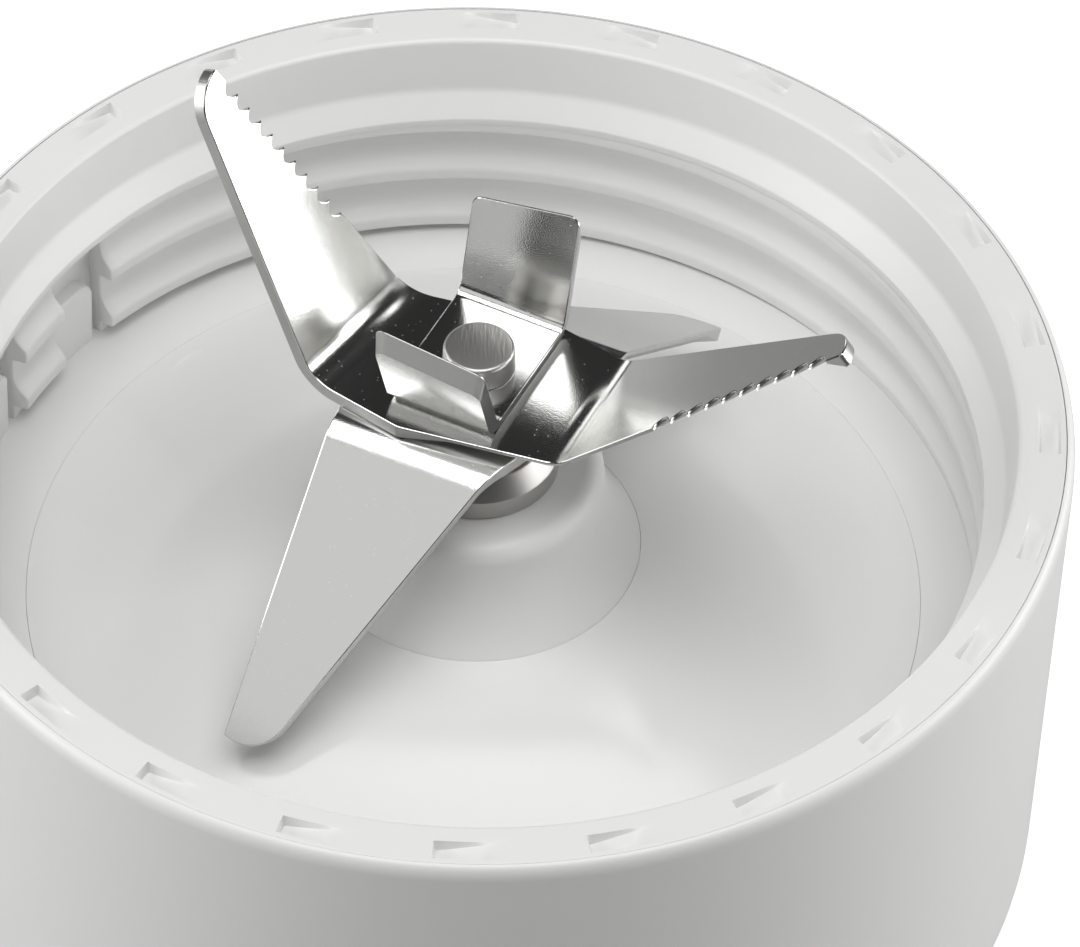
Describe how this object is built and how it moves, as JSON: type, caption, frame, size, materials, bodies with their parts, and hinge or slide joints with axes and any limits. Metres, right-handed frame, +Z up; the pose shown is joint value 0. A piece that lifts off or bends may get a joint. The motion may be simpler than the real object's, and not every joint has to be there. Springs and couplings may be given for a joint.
{
  "type": "blender blade unit",
  "caption": "Round white screw-on blade holder for a countertop blender, with an inner thread, a gasket seat and a spinning stack of steel blades on a central shaft.",
  "frame": {"origin": "centre of the flat base, on the shaft's axis", "axes": "+Z up along the shaft, towards the blades; the taller serrated arm points towards -X and +Y"},
  "size_m": [0.096, 0.096, 0.0798],
  "materials": {
    "white_abs": "satin moulded ABS",
    "white_silicone": "moulded silicone",
    "blade_steel": "mirror-polished stainless sheet with fine grain",
    "turned_steel": "turned",
    "sintered_bronze": "sintered",
    "black_rubber": "moulded nitrile",
    "fibre_washer": "pressed fibre",
    "black_nylon": "glass-filled nylon"
  },
  "bodies": {
    "holder": {"outer_shell": "white_abs", "threaded_cup": "white_abs", "bearing_boss": "white_abs", "jar_gasket": "white_silicone", "bearing_sleeve": "turned_steel", "lock_washer": "turned_steel", "retaining_nut": "turned_steel", "case_screw_1": "turned_steel", "case_screw_2": "turned_steel", "case_screw_3": "turned_steel", "case_screw_4": "turned_steel", "upper_bush": "sintered_bronze", "lower_bush": "sintered_bronze", "boss_o_ring": "black_rubber", "shaft_seal": "black_rubber"},
    "rotor": {"blade_shaft": "turned_steel", "thrust_washer": "fibre_washer", "blade_spacer": "turned_steel", "lower_blade": "blade_steel", "upper_blade": "blade_steel", "tab_blade": "blade_steel", "lower_thrust_washer": "fibre_washer", "circlip": "turned_steel", "drive_coupling": "black_nylon", "coupling_insert": "turned_steel", "coupling_washer": "turned_steel", "coupling_nut": "turned_steel"}
  },
  "joints": [
    {"name": "rotor_spin", "type": "hinge", "parent": "holder", "child": "rotor", "pos_m": [0, 0, 0.05], "axis": [0, 0, 1], "continuous": true}
  ]
}
